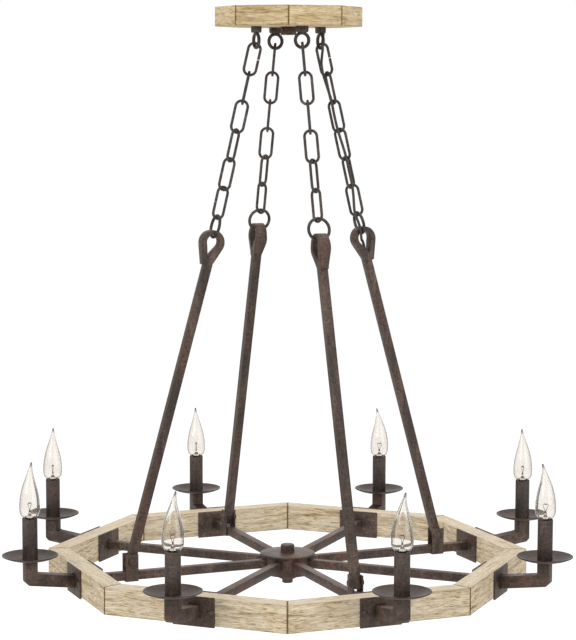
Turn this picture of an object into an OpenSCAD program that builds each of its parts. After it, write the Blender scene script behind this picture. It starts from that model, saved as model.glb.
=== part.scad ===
// Wagon wheel chandelier: an octagonal ring of mitred boards with iron straps,
// spokes and eight candle arms, hung by chains and square rods from a canopy.
// Origin: centre of the ceiling face of the canopy, +Z up, the photographed side at -Y.

/* [Ceiling canopy] */
// Corner radius of the octagonal canopy
canopy_r = 121; // [112:1:150]
// Height of the canopy boards
canopy_h = 32; // [28:1:60]
// Thickness of the canopy boards
canopy_board_t = 22; // [12:1:26]
// Thickness of the wooden panel that closes the canopy below
panel_t = 10; // [7:0.5:12]
// Thickness of the steel plate that carries the loops
plate_t = 3; // [2:0.5:4]
// Radius of the steel plate
plate_r = 76; // [70:1:80]

/* [Ceiling fixing] */
// Length of the crossbar
bar_l = 106; // [100:1:120]
// Width of the crossbar
bar_w = 20; // [16:1:24]
// Thickness of the crossbar
bar_t = 3; // [2:0.5:4]
// Distance between the two screw slots
slot_spacing = 69.85; // [60:0.05:89]
// Length of a screw slot from end to end
slot_l = 14; // [8:0.5:16]
// Width of a screw slot
slot_w = 5; // [4:0.1:6]
// Outer radius of the mounting nipple
nipple_r = 4.85; // [4:0.05:6]
// Wall of every threaded nipple
nipple_wall = 1.35; // [1:0.05:1.8]
// Radius of the round collar nut
collar_r = 12.8; // [10:0.2:20]
// Height of the collar nut
collar_h = 13.5; // [10:0.5:20]

/* [Loops] */
// Distance of the loops from the middle of the canopy
loop_at = 57; // [50:1:62]
// Radius of a loop to the middle of its wire
loop_r = 11.7; // [9:0.1:13]
// Wire diameter of the loops
loop_wire = 5.5; // [4:0.5:6]
// Depth of the groove in a lug that a loop's wire lies in
loop_sink = 1.9; // [0.5:0.1:2.5]
// Width of the lug above a loop
lug_w = 18; // [14:1:24]
// Depth of the lug
lug_d = 11.6; // [9:0.1:12]
// Height of the lug
lug_h = 10.4; // [8:0.1:14]
// Radius of a loop's shank
shank_r = 3.5; // [2.5:0.25:4]
// Radius of a nut to its corners
nut_r = 7.5; // [6:0.5:8]
// Height of a nut
nut_h = 5.5; // [4:0.5:7]

/* [Chains] */
// Lean of the chains from upright, in degrees
chain_lean = 13.4; // [12:0.1:15]
// Wire diameter of the links
link_wire = 4.5; // [4:0.1:5]
// Outer width of a link
link_w = 24.5; // [23:0.5:27]
// Distance from one link to the next
pitch = 48; // [44:0.5:52]
// Opening of the butt joint in the first links beside the front
butt_gap = 1.2; // [0.6:0.1:2]
// Opening of every other link's butt joint
tight_gap = 0.3; // [0.1:0.1:0.6]
// Wire diameter of the end rings
ring_wire = 5; // [4.5:0.1:5.5]
// Radius of a ring to the middle of its wire
ring_mid_r = 18; // [17:0.5:19]
// Gap between two links that hang in each other
hang_gap = 0.3; // [0.2:0.05:0.4]
// Gap between a loop and the first link, which hangs in it turned
loop_gap = 0.7; // [0.6:0.05:0.8]
// Gap between a ring and the rod's eye, enough for the wheel's swing
eye_gap = 0.9; // [0.8:0.05:0.95]

/* [Rods] */
// Width of a square rod
rod_w = 13.5; // [12:0.5:14]
// Wall of a rod
rod_wall = 2; // [1.5:0.1:2.2]
// Length of a rod from its pin down to its end
rod_foot = 10; // [9:0.5:12]
// Radius of the eye's opening
eye_r = 11.5; // [11:0.5:13]
// Thickness of the strap that the eye is bent from
eye_t = 8; // [7:0.5:8.5]
// Width of the strap over the top of the eye
eye_w = 17.5; // [15:0.5:18]
// Width of the strap where the eye is widest
eye_belly_w = 20; // [18:0.5:21]
// Offset of the eye from the rod's middle line, outwards
eye_shift = 2.5; // [1:0.5:4]
// Depth of the eye's opening below its round part
eye_drop = 27; // [25:1:32]

/* [Stirrups] */
// Distance of the rods' pins from the spokes' outer ends
pin_inset = 58.3; // [46:0.1:76]
// Height of the pins above the wheel's middle plane
pin_z = 23.3; // [22:0.1:26]
// Radius of a pin
pin_r = 3; // [2.5:0.1:3.5]
// Radius of a pin's round head
pin_head_r = 7; // [5:0.5:9]
// Height of a pin's head
pin_head_h = 4; // [2:0.5:5]
// Width of a stirrup along the spoke
stirrup_w = 22; // [18:1:26]
// Height of a stirrup's top above the wheel's middle plane
stirrup_top = 36; // [33:1:40]
// Thickness of a stirrup
stirrup_t = 2; // [1.5:0.25:3]

/* [Wheel] */
// Distance from the ceiling face down to the wheel's middle plane
wheel_drop = 925; // [880:1:1000]
// Corner radius of the board ring
ring_r = 403; // [380:1:430]
// Thickness of the ring boards
board_t = 33; // [25:1:38]
// Height of the ring boards
board_h = 44; // [42:1:50]
// Open seam of a mitre
seam = 0.3; // [0.2:0.1:0.6]

/* [Straps] */
// Length of an outer strap
outer_strap_l = 70; // [66:1:90]
// Length of an inner strap
inner_strap_l = 72; // [66:1:90]
// Height of the straps
strap_h = 47; // [44:1:52]
// Thickness of the straps
strap_t = 3; // [2:0.5:4]
// Distance of the strap bolts from the strap's middle
bolt_at = 27; // [22:1:29]
// Radius of the strap bolts
bolt_r = 2.5; // [2:0.25:3]
// Radius of the strap bolts' heads
bolt_head_r = 4.5; // [3.5:0.25:5]
// Height of the strap bolts' heads
bolt_head_h = 2.5; // [1.5:0.25:3]

/* [Spokes and hub] */
// Width of a square spoke
spoke_w = 14; // [13:0.5:14.5]
// Wall of a spoke
spoke_wall = 2; // [1.5:0.1:2.5]
// Outer radius of the hub drum
drum_r = 40; // [36:1:44]
// Height of the drum's rim above the wheel's middle plane
drum_top = 12.5; // [11:0.5:16]
// Depth of the drum's floor below the wheel's middle plane
drum_base = 19.4; // [18:0.2:24]
// Wall of the drum
drum_wall = 3; // [2:0.25:4]
// Radius of the hub lid
lid_r = 46; // [44:1:50]
// Thickness of the hub lid
lid_t = 3; // [2:0.5:4]
// Radius of the hub bolt
hub_bolt_r = 5; // [4:0.25:6]
// Radius of the hub bolt's round head
cap_r = 11.5; // [9:0.5:14]
// Height of the hub bolt's round head
cap_h = 14; // [12:0.5:18]
// Bevel around the top of the hub bolt's head
cap_bevel = 1.5; // [1:0.5:6]
// Radius of the round washer under the hub
dome_r = 17; // [14:0.5:20]
// Height of the round washer
dome_h = 8.6; // [6:0.2:10]
// Radius of the hub nut to its corners
hub_nut_r = 9; // [8:0.5:10]
// Height of the hub nut
hub_nut_h = 8; // [6:0.5:10]

/* [Arms and candles] */
// Distance of the candles from the outer faces of the boards
light_out = 74.7; // [64:0.1:96]
// Width of a square arm
arm_w = 20; // [18:1:22]
// Wall of an arm
arm_wall = 2; // [1.5:0.25:2.5]
// Height of an arm's middle above the wheel's middle plane, where it leaves the strap
arm_z = -0.5; // [-4:0.5:4]
// Rise of the arms towards the candles, in degrees
arm_rise = 7.3; // [0:0.1:9]
// Height of the drip pans' base above the wheel's middle plane
pan_z = 39.5; // [36:0.5:50]
// Radius of a drip pan
pan_r = 45; // [40:1:50]
// Rise of a pan's rim above its base
pan_rise = 7; // [5:0.5:10]
// Thickness of a pan
pan_t = 1.5; // [1:0.25:2]
// Radius of a pan's flat base
pan_flat_r = 16; // [14:1:20]
// Outer radius of a candle sleeve
sleeve_r = 12.25; // [12:0.25:13]
// Wall of a candle sleeve
sleeve_wall = 1.2; // [0.8:0.1:1.4]
// Height of a candle sleeve
sleeve_h = 66.5; // [60:0.5:90]
// Radius of a lamp socket
socket_r = 10.2; // [9:0.1:10.3]
// Height of the hexagonal nut that clamps a pan
clamp_h = 3.5; // [3:0.5:4]

/* [Bulbs] */
// Radius of a bulb's screw cap
cap_screw_r = 6; // [5:0.5:7]
// Height of a bulb's screw cap
cap_screw_h = 21; // [18:1:24]
// Largest radius of a bulb's glass
bulb_r = 17; // [15:0.5:19]
// Height of a bulb's glass
bulb_h = 97; // [80:1:110]
// Wall of a bulb's glass
glass_wall = 1; // [0.8:0.1:1.2]

/* [Wiring] */
// Diameter of the supply cord
cord_d = 4.5; // [3.5:0.1:4.5]
// Diameter of a lead inside the wheel
lead_d = 3; // [2:0.1:3.2]

/* [Hidden] */
$fn = 48;
sides = 8;
half_side = 180 / sides;
fit = 0.1;
running = 0.05;
face_gap = 0.25;
thread_end = 1; // how far a bolt or a nipple ends past its nut or inside its head

// Directions of the four hangers and of the first candle, turned from +X.
hanger_turn = [-67.5, 22.5, 112.5, 202.5];
first_turn = -67.5;

// How far each link is turned from the upright plane through its hanger.
link_turns = [
    [-22.5, 67.5, -22.5, 67.5, -52.5, 17.5],
    [0, 90, 0, 126, 32, -22],
    [-22.5, 67.5, -22.5, 67.5, -52.5, 17.5],
    [157.5, 67.5, -22.5, 36.5, -50.5, 14.5]
];

// Heights in the canopy.
panel_base = -canopy_h;
plate_base = panel_base + panel_t;
plate_top = plate_base + plate_t;
panel_r = canopy_r - canopy_board_t / cos(half_side) - face_gap;
nipple_top = -0.5;

// Places along a chain, measured down from the middle of its loop.
loop_z = panel_base - lug_h + loop_sink - loop_r - loop_wire / 2;
link_mid_r = (link_w - link_wire) / 2;
link_straight = pitch + hang_gap + link_wire - 2 * link_mid_r;
first_bend = link_mid_r - link_wire / 2 - loop_wire / 2 - loop_gap;
first_bend_at = loop_r * cos(chain_lean)
    + sqrt(first_bend * first_bend - pow(loop_r * sin(chain_lean), 2));
first_link_at = first_bend_at - link_mid_r - link_wire / 2;
link_count = 6;
link_half = link_straight / 2 + link_mid_r + link_wire / 2;
ring_at = first_link_at + (link_count - 1) * pitch + link_wire + pitch + ring_mid_r - ring_wire / 2;
eye_at = ring_at + ring_mid_r - ring_wire / 2 - eye_gap;

// The board ring and what is fixed to it.
ring_face = ring_r * cos(half_side);
ring_back = ring_face - board_t;
arm_start = ring_face + strap_t;
spoke_end = ring_back - strap_t;
spoke_start = drum_r - drum_wall;
wire_hole_r = 4;
floor_z = -drum_base + drum_wall;
strap_base = -strap_h / 2 - 0.5;

// A rod reaches from its pin up to the ring above it.
pin_at = spoke_end - pin_inset;
eye_out = loop_at + eye_at * sin(chain_lean);
eye_z = loop_z - eye_at * cos(chain_lean);
rod_reach = norm([eye_out - pin_at, eye_z + wheel_drop - pin_z]);
rod_lean = atan2(pin_at - eye_out, eye_z + wheel_drop - pin_z) + asin(eye_shift / rod_reach);
eye_mid = sqrt(rod_reach * rod_reach - eye_shift * eye_shift) - eye_r;
bore_w = rod_w - 2 * rod_wall;
tail_out = rod_w / 2 + eye_t / 2;
crotch = [rod_w / 2 - 1.5, eye_mid - eye_drop];
rod_top = crotch[1] - eye_t - 4;

// The candles.
light_at = ring_face + light_out;
pan_floor = pan_z + pan_t;
pan_arc_r = ((pan_r - pan_flat_r) * (pan_r - pan_flat_r) + pan_rise * pan_rise) / (2 * pan_rise);
sleeve_top = pan_floor + sleeve_h;
clamp_r = 8;
lamp_nipple_grip = 9;
socket_well = 3;
socket_base = pan_floor + clamp_h;
socket_top = sleeve_top - 1;
lamp_nipple_base = pan_z - arm_w / 2;
lamp_nipple_top = socket_base + lamp_nipple_grip;
cap_base = socket_top - cap_screw_h + 0.5;
glass_base = sleeve_top + 0.5;
neck_r = 10.5;
tip_r = 2.2;
belly_at = 0.19;
lead_z = -2.4;
lead_bend_r = 6;
splice_r = 18;
splice_bore_r = 8;
splice_h = 20;

// The cord beside chain B: outwards, away from the front, and down from the first link's upper bend.
cord_by_chain = [
    [5.3, 5.3, -12], [4, 6, -2], [0, 6.5, 10], [-4, 6, 22], [-5.4, 5.7, 36.5],
    [-5.7, 3.5, 46.5], [-5.8, 0, 59], [-5.6, -3, 72], [-5.3, -5.3, 84], [-5.6, -5, 109],
    [-5.3, -5.3, 132], [-4.5, -6, 144], [-3, -7, 162], [-1.5, -7.4, 181], [-1.5, -7.5, 204],
    [-1.2, -7.4, 228], [-2.5, -7.2, 244], [-4.5, -6.2, 260], [-6, -5.2, 274],
    [-6, -7.5, 284], [-5.6, -10.5, 293], [-5.3, -12, 302], [-5.4, -11.9, 310],
    [-5.4, -9.4, 317], [-4, -5, 324]
];
// The cord inside the canopy: outwards, away from the front, and height.
cord_in_canopy = [
    [34, 13, -1], [35, 12.8, -4], [40, 12, -6.5], [50, 10, -7.5], [58, 8.5, -9],
    [63.5, 7.3, -13], [65.5, 7, -20], [65.5, 7, -34], [65.4, 6.9, -43], [64, 6.3, -51]
];
// Height of the cord in the spoke, and its hole's place in rod B, outwards from the rod's middle line.
cord_lies = 2.3;
cord_hole_at = 1.2;
// The cord inside rod B: outwards from the rod's middle line, up from its pin, and away from the front.
cord_in_rod = [
    [0.8, crotch[1] + 19, -1.5],
    [cord_hole_at, crotch[1] - 1.6, 0], [cord_hole_at, crotch[1] - 9.6, 0], [0, crotch[1] - 30, 0],
    for (share = [0.75, 0.55, 0.35, 0.15]) [0, crotch[1] * share, 0],
    [0, 20, 0], [0, 4, 0]
];
// The cord from the rod's end through the spoke to the hub: outwards and up from the wheel's plane.
cord_in_spoke = [
    [pin_at + 2.6, 14], [pin_at + 2.8, 9], [pin_at + 1, 5], [pin_at - 3, 2.8], [pin_at - 10, cord_lies],
    for (out = [pin_at * 0.72, pin_at * 0.43, 60, 30, splice_r + 1]) [out, cord_lies]
];
cord_slot = [pin_at - 6, pin_at + 8];
cord_exit = [65.5, 7];
cord_room = 0.75;
bushing_wall = 2;
bushing_room = 0.3;
cord_sides = 10;

// Ring of eight boards or anything else that repeats around the wheel.
module each_side() {
    for (k = [0 : sides - 1])
        rotate(first_turn + k * 360 / sides)
            children();
}

module each_hanger() {
    for (turn = hanger_turn)
        rotate(turn)
            children();
}

module at_wheel() {
    translate([0, 0, -wheel_drop])
        children();
}

// Frame of a hanger's chain: +Z up along the chain, +X outwards, origin at the loop's middle.
module along_chain(turn, down = 0) {
    rotate(turn)
        translate([loop_at, 0, loop_z])
            rotate([0, -chain_lean, 0])
                translate([0, 0, -down])
                    children();
}

// Frame of a hanger's rod: +Z up along the rod, +X outwards, origin at its pin.
module along_rod(turn) {
    rotate(turn)
        translate([pin_at, 0, pin_z - wheel_drop])
            rotate([0, -rod_lean, 0])
                children();
}

module outward_rod(r, from, to) {
    translate([from, 0, 0])
        rotate([0, 90, 0])
            cylinder(r = r, h = to - from);
}

module across_rod(r, length) {
    rotate([90, 0, 0])
        cylinder(r = r, h = length, center = true);
}

module tube(r, wall, h) {
    difference() {
        cylinder(r = r, h = h);
        translate([0, 0, -1])
            cylinder(r = r - wall, h = h + 2);
    }
}

module wire_ring(mid_r, wire) {
    rotate_extrude()
        translate([mid_r, 0])
            circle(d = wire);
}

module mitred_board(face, thick, high) {
    outer = face * tan(half_side) - seam / 2 / cos(half_side);
    inner = (face - thick) * tan(half_side) - seam / 2 / cos(half_side);
    linear_extrude(high)
        polygon([[face - thick, -inner], [face, -outer], [face, outer], [face - thick, inner]]);
}

// Canopy and its fixing.

module canopy_boards() {
    color("#cdb994")
        translate([0, 0, -canopy_h])
            each_side()
                mitred_board(canopy_r * cos(half_side), canopy_board_t, canopy_h);
}

module canopy_panel() {
    color("#c4b08c")
        difference() {
            translate([0, 0, panel_base])
                cylinder(r = panel_r, h = panel_t, $fn = sides);
            translate([0, 0, panel_base - 1])
                cylinder(r = nipple_r + fit, h = panel_t + 2);
            each_hanger()
                translate([loop_at, 0, panel_base - 1])
                    cylinder(r = shank_r + fit, h = panel_t + 2);
            rotate(hanger_turn[1])
                translate([cord_exit[0], cord_exit[1], panel_base - 1])
                    cylinder(r = cord_d / 2 + bushing_wall, h = panel_t + 2);
        }
}

module canopy_plate() {
    color("#6d6a66")
        difference() {
            translate([0, 0, plate_base])
                cylinder(r = plate_r, h = plate_t);
            translate([0, 0, plate_base - 1])
                cylinder(r = nipple_r + fit, h = plate_t + 2);
            each_hanger()
                translate([loop_at, 0, plate_base - 1])
                    cylinder(r = shank_r + fit, h = plate_t + 2);
            rotate(hanger_turn[1])
                translate([cord_exit[0], cord_exit[1], plate_base - 1])
                    cylinder(r = cord_d / 2 + cord_room, h = plate_t + 2);
        }
}

module screw_slot() {
    linear_extrude(bar_t + 2) {
        square([slot_l - slot_w, slot_w], center = true);
        for (side = [-1, 1])
            translate([side * (slot_l - slot_w) / 2, 0])
                circle(d = slot_w);
    }
}

module ceiling_crossbar() {
    color("#8b8c8d")
        difference() {
            translate([-bar_l / 2, -bar_w / 2, -bar_t])
                cube([bar_l, bar_w, bar_t]);
            translate([0, 0, -bar_t - 1])
                cylinder(r = nipple_r + fit, h = bar_t + 2);
            for (side = [-1, 1])
                translate([side * slot_spacing / 2, 0, -bar_t - 1])
                    screw_slot();
        }
}

module mounting_nipple() {
    color("#b19a5c")
        translate([0, 0, panel_base - collar_h + thread_end])
            tube(nipple_r, nipple_wall, nipple_top - panel_base + collar_h - thread_end);
}

module canopy_collar() {
    color("#4a4038")
        difference() {
            translate([0, 0, panel_base - collar_h])
                cylinder(r = collar_r, h = collar_h);
            translate([0, 0, panel_base - collar_h - 1])
                cylinder(r = nipple_r + fit, h = collar_h + 2);
        }
}

// The lower corners of a lug are rounded by a quarter of a cylinder each.
module lug_outline() {
    corner = lug_h / 3;
    translate([-lug_w / 2, corner])
        square([lug_w, lug_h - corner]);
    translate([-lug_w / 2 + corner, 0])
        square([lug_w - 2 * corner, lug_h]);
    for (side = [-1, 1])
        translate([side * (lug_w / 2 - corner), corner])
            circle(r = corner);
}

module loop_lugs() {
    color("#453c35")
        each_hanger()
            difference() {
                translate([loop_at + lug_d / 2, 0, panel_base - lug_h])
                    rotate([90, 0, -90])
                        linear_extrude(lug_d)
                            lug_outline();
                translate([loop_at, 0, panel_base - lug_h - 1])
                    cylinder(r = shank_r + fit, h = lug_h + 2);
                translate([loop_at, 0, loop_z])
                    rotate([0, 90, 0])
                        wire_ring(loop_r, loop_wire + 2 * fit);
            }
}

module canopy_loops() {
    color("#453e38")
        each_hanger()
            translate([loop_at, 0, 0]) {
                translate([0, 0, loop_z])
                    rotate([0, 90, 0])
                        wire_ring(loop_r, loop_wire);
                translate([0, 0, loop_z + loop_r])
                    cylinder(r = shank_r, h = plate_top + nut_h + thread_end - loop_z - loop_r);
            }
}

module loop_nuts() {
    color("#8b8c8d")
        each_hanger()
            translate([loop_at, 0, plate_top])
                difference() {
                    cylinder(r = nut_r, h = nut_h, $fn = 6);
                    translate([0, 0, -1])
                        cylinder(r = shank_r + fit, h = nut_h + 2);
                }
}

module cord_bushing() {
    color("#2b2a29")
        rotate(hanger_turn[1])
            translate([cord_exit[0], cord_exit[1], panel_base])
                tube(cord_d / 2 + bushing_wall - fit, bushing_wall - fit - bushing_room, panel_t);
}

// Chains.

module link(gap) {
    for (end = [0, 180])
        rotate([0, end, 0])
            translate([0, 0, link_straight / 2])
                rotate([90, 0, 0])
                    rotate_extrude(angle = 180)
                        translate([link_mid_r, 0])
                            circle(d = link_wire);
    translate([-link_mid_r, 0, -link_straight / 2])
        cylinder(d = link_wire, h = link_straight);
    translate([link_mid_r, 0, -link_straight / 2])
        cylinder(d = link_wire, h = link_straight / 2);
    translate([link_mid_r, 0, gap])
        cylinder(d = link_wire, h = link_straight / 2 - gap);
}

module chain_link(hanger, k) {
    along_chain(hanger_turn[hanger], first_link_at + k * pitch + link_half)
        rotate(link_turns[hanger][k])
            link(k == 0 && hanger % 2 == 1 ? butt_gap : tight_gap);
}

module top_link(hanger) {
    color("#4b4643")
        chain_link(hanger, 0);
}

module lower_links(hanger) {
    color("#4b4643") {
        for (k = [1 : link_count - 1])
            chain_link(hanger, k);
        along_chain(hanger_turn[hanger], ring_at)
            rotate([0, 90, 0])
                wire_ring(ring_mid_r, ring_wire);
    }
}

// Rods.

// Point where the line from p touches a circle about c, on the side s.
function touch(c, r, p, s) =
    let (v = p - c, turn = atan2(v[1], v[0]) + s * acos(r / norm(v)))
    c + r * [cos(turn), sin(turn)];

module eye_outline() {
    middle = [eye_shift, eye_mid];
    outer_r = eye_r + eye_t;
    neck = [-rod_w / 2, crotch[1] - eye_t];
    tail = [tail_out, crotch[1] - eye_t - 4];
    low = rod_top - 2;
    difference() {
        union() {
            translate(middle)
                circle(r = outer_r);
            polygon([
                touch(middle, outer_r, neck, -1), middle, touch(middle, outer_r, tail, 1),
                tail, [rod_w / 2, tail[1] - 1], [rod_w / 2, low], [-rod_w / 2, low], neck
            ]);
        }
        translate(middle)
            circle(r = eye_r);
        polygon([touch(middle, eye_r, crotch, -1), middle, touch(middle, eye_r, crotch, 1), crotch]);
    }
}

// The eye seen from outwards: widest below its middle, narrowing to the rod.
module eye_width() {
    low = rod_top - 2;
    edge = [
        [rod_w / 2, low], [rod_w / 2, crotch[1] - eye_t],
        [eye_belly_w / 2, eye_mid - eye_r], [eye_belly_w / 2, eye_mid - eye_r / 2],
        [eye_w / 2, eye_mid + eye_r / 2], [eye_w / 2, eye_mid + eye_r + eye_t + 1]
    ];
    polygon([each edge, for (i = [len(edge) - 1 : -1 : 0]) [-edge[i][0], edge[i][1]]]);
}

module rod(hanger) {
    turn = hanger_turn[hanger];
    reach = eye_r + eye_t + eye_shift + 1;
    color("#55493f")
        difference() {
            along_rod(turn) {
                intersection() {
                    rotate([90, 0, 0])
                        linear_extrude(eye_belly_w + 2, center = true)
                            eye_outline();
                    rotate([90, 0, 90])
                        linear_extrude(2 * reach, center = true)
                            eye_width();
                }
                translate([-rod_w / 2, -rod_w / 2, -rod_foot])
                    cube([rod_w, rod_w, rod_top + rod_foot]);
            }
            along_rod(turn) {
                translate([-bore_w / 2, -bore_w / 2, -rod_foot - 1])
                    cube([bore_w, bore_w, rod_top + rod_foot - 2]);
                across_rod(pin_r + running, rod_w + 2);
                if (hanger == 1)
                    translate([cord_hole_at, 0, rod_top - 8])
                        cylinder(r = cord_d / 2 + 1.6 * cord_room, h = eye_drop + eye_t + 4);
            }
            along_chain(turn, ring_at + 0.7 * eye_gap)
                rotate([0, 90, 0])
                    wire_ring(ring_mid_r, ring_wire + 3.4 * eye_gap);
        }
}

// Stirrups.

cheek_in = max(rod_w, spoke_w) / 2 + running;
stirrup_base = -spoke_w / 2 - stirrup_t;

module stirrups() {
    color("#4d423a")
        at_wheel()
            each_hanger()
                translate([pin_at, 0, 0])
                    difference() {
                        translate([-stirrup_w / 2, -cheek_in - stirrup_t, stirrup_base])
                            cube([stirrup_w, 2 * (cheek_in + stirrup_t), stirrup_top - stirrup_base]);
                        translate([-stirrup_w / 2 - 1, -cheek_in, -spoke_w / 2])
                            cube([stirrup_w + 2, 2 * cheek_in, stirrup_top + spoke_w]);
                        translate([0, 0, pin_z])
                            across_rod(pin_r + running, 4 * cheek_in);
                    }
}

module stub_bolt() {
    shank = stirrup_t + cheek_in - bore_w / 2;
    translate([0, bore_w / 2, 0])
        rotate([-90, 0, 0]) {
            cylinder(r = pin_r, h = shank);
            translate([0, 0, shank])
                cylinder(r1 = pin_head_r, r2 = pin_head_r - pin_head_h / 2, h = pin_head_h);
        }
}

module stirrup_bolts() {
    color("#4a4038")
        at_wheel()
            each_hanger()
                translate([pin_at, 0, pin_z])
                    for (side = [0, 180])
                        rotate(side)
                            stub_bolt();
}

// Board ring and straps.

module bolt_holes(from, to) {
    for (side = [-1, 1])
        translate([0, side * bolt_at, 0])
            outward_rod(bolt_r + fit, from, to);
}

module wheel_boards() {
    color("#d6c3a0")
        at_wheel()
            each_side()
                difference() {
                    translate([0, 0, -board_h / 2])
                        mitred_board(ring_face, board_t, board_h);
                    bolt_holes(ring_back - 1, ring_face + 1);
                    outward_rod(wire_hole_r, ring_back - 1, ring_face + 1);
                }
}

module strap(from, length) {
    difference() {
        translate([from, -length / 2, strap_base])
            cube([strap_t, length, strap_h]);
        bolt_holes(from - 1, from + strap_t + 1);
        outward_rod(wire_hole_r, from - 1, from + strap_t + 1);
    }
}

module outer_straps() {
    color("#4f443b")
        at_wheel()
            each_side()
                strap(ring_face, outer_strap_l);
}

module inner_straps() {
    color("#4f443b")
        at_wheel()
            each_side()
                strap(spoke_end, inner_strap_l);
}

module strap_bolts() {
    color("#3f3731")
        at_wheel()
            each_side()
                for (side = [-1, 1])
                    translate([0, side * bolt_at, 0]) {
                        outward_rod(bolt_r, spoke_end - thread_end, arm_start + thread_end);
                        translate([arm_start, 0, 0])
                            rotate([0, 90, 0])
                                cylinder(r1 = bolt_head_r, r2 = bolt_head_r / 2, h = bolt_head_h);
                        translate([spoke_end, 0, 0])
                            rotate([0, -90, 0])
                                cylinder(r1 = bolt_head_r, r2 = bolt_head_r / 2, h = bolt_head_h);
                    }
}

// Spokes and hub.

module spoke() {
    inside = spoke_w - 2 * spoke_wall;
    difference() {
        translate([spoke_start, -spoke_w / 2, -spoke_w / 2])
            cube([spoke_end - spoke_start, spoke_w, spoke_w]);
        translate([spoke_start - 1, -inside / 2, -inside / 2])
            cube([spoke_end - spoke_start + 2, inside, inside]);
    }
}

module spokes() {
    color("#51463d")
        at_wheel()
            difference() {
                each_side()
                    spoke();
                rotate(hanger_turn[1])
                    translate([cord_slot[0], -cord_d / 2 - cord_room, 0])
                        cube([cord_slot[1] - cord_slot[0], cord_d + 2 * cord_room, spoke_w]);
            }
}

module hub_drum() {
    color("#544a41")
        at_wheel()
            difference() {
                translate([0, 0, -drum_base])
                    cylinder(r = drum_r, h = drum_base + drum_top);
                translate([0, 0, floor_z])
                    cylinder(r = drum_r - drum_wall, h = drum_base + drum_top);
                translate([0, 0, -drum_base - 1])
                    cylinder(r = hub_bolt_r + running, h = drum_wall + 2);
                each_side()
                    translate([drum_r / 2, -spoke_w / 2 - fit, -spoke_w / 2 - fit])
                        cube([drum_r, spoke_w + 2 * fit, spoke_w + 2 * fit]);
            }
}

module hub_lid() {
    color("#857a6f")
        at_wheel()
            translate([0, 0, drum_top])
                tube(lid_r, lid_r - hub_bolt_r - running, lid_t);
}

module splice_block() {
    color("#dcd8cc")
        at_wheel()
            translate([0, 0, floor_z])
                tube(splice_r, splice_r - splice_bore_r, splice_h);
}

// A lead runs out through a spoke and the boards, rises along an arm and turns up into the socket.
lead_bend_at = light_at - lead_bend_r;
lead_rise_l = (lead_bend_at + lead_bend_r * sin(arm_rise) - arm_start) / cos(arm_rise);
lead_bend_z = lead_z + lead_rise_l * sin(arm_rise) + lead_bend_r * cos(arm_rise);
lead_bend_steps = 6;
lead_path = [
    [splice_r, 0, lead_z],
    [arm_start, 0, lead_z],
    for (i = [0 : lead_bend_steps])
        let (turn = arm_rise + (90 - arm_rise) * i / lead_bend_steps)
        [lead_bend_at + lead_bend_r * sin(turn), 0, lead_bend_z - lead_bend_r * cos(turn)],
    [light_at, 0, lamp_nipple_top - thread_end]
];

module lamp_leads() {
    color("#2f2c2a")
        at_wheel()
            each_side()
                sweep(lead_path, lead_d, cord_sides);
}

module hub_bolt() {
    head_z = drum_top + lid_t;
    shoulder = cap_h - cap_bevel;
    color("#3d3631")
        at_wheel() {
            translate([0, 0, head_z])
                cylinder(r = cap_r, h = shoulder);
            translate([0, 0, head_z + shoulder])
                cylinder(r1 = cap_r, r2 = cap_r - cap_bevel, h = cap_bevel);
            translate([0, 0, -drum_base - dome_h - hub_nut_h + thread_end])
                cylinder(r = hub_bolt_r, h = drum_base + dome_h + hub_nut_h + head_z);
        }
}

module hub_washer() {
    color("#453c35")
        at_wheel()
            translate([0, 0, -drum_base - dome_h])
                difference() {
                    cylinder(r1 = dome_r * 0.85, r2 = dome_r, h = dome_h);
                    translate([0, 0, -1])
                        cylinder(r = hub_bolt_r + fit, h = dome_h + 2);
                }
}

module hub_nut() {
    color("#3d3631")
        at_wheel()
            translate([0, 0, -drum_base - dome_h - hub_nut_h])
                difference() {
                    cylinder(r = hub_nut_r, h = hub_nut_h, $fn = 6);
                    translate([0, 0, thread_end])
                        cylinder(r = hub_bolt_r + fit, h = hub_nut_h);
                }
}

// Arms and candles.

// An arm's outer lower corner is cut off at this share of its width.
heel_share = 0.27;

// Height of an arm's middle line.
function arm_line(out) = arm_z + (out - arm_start) * tan(arm_rise);

module arm_outline(inset) {
    half = (arm_w / 2 - inset) / cos(arm_rise);
    start = inset > 0 ? arm_start - 1 : arm_start;
    outer = light_at + arm_w / 2 - inset;
    inner = light_at - arm_w / 2 + inset;
    heel = outer - arm_w * heel_share;
    polygon([
        [start, arm_line(start) - half], [heel, arm_line(heel) - half],
        [outer, arm_line(heel) - half + outer - heel], [outer, pan_z - 1.5 * inset],
        [inner, pan_z - 1.5 * inset], [inner, arm_line(inner) + half], [start, arm_line(start) + half]
    ]);
}

module arms() {
    color("#4b4039")
        at_wheel()
            each_side()
                difference() {
                    rotate([90, 0, 0])
                        linear_extrude(arm_w, center = true)
                            arm_outline(0);
                    rotate([90, 0, 0])
                        linear_extrude(arm_w - 2 * arm_wall, center = true)
                            arm_outline(arm_wall);
                    translate([light_at, 0, pan_z - arm_w])
                        cylinder(r = nipple_r + fit, h = 2 * arm_w);
                }
}

module pan_profile() {
    translate([nipple_r + fit, 0])
        square([pan_flat_r - nipple_r - fit, pan_t]);
    intersection() {
        translate([pan_flat_r, pan_arc_r])
            difference() {
                circle(r = pan_arc_r);
                circle(r = pan_arc_r - pan_t);
            }
        translate([pan_flat_r, -1])
            square([pan_r - pan_flat_r, pan_rise + pan_t + 1]);
    }
}

module drip_pans() {
    color("#6a5b4e")
        at_wheel()
            each_side()
                translate([light_at, 0, pan_z])
                    rotate_extrude()
                        pan_profile();
}

module candle_sleeves() {
    color("#433b36")
        at_wheel()
            each_side()
                translate([light_at, 0, pan_floor])
                    tube(sleeve_r, sleeve_wall, sleeve_h);
}

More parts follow.
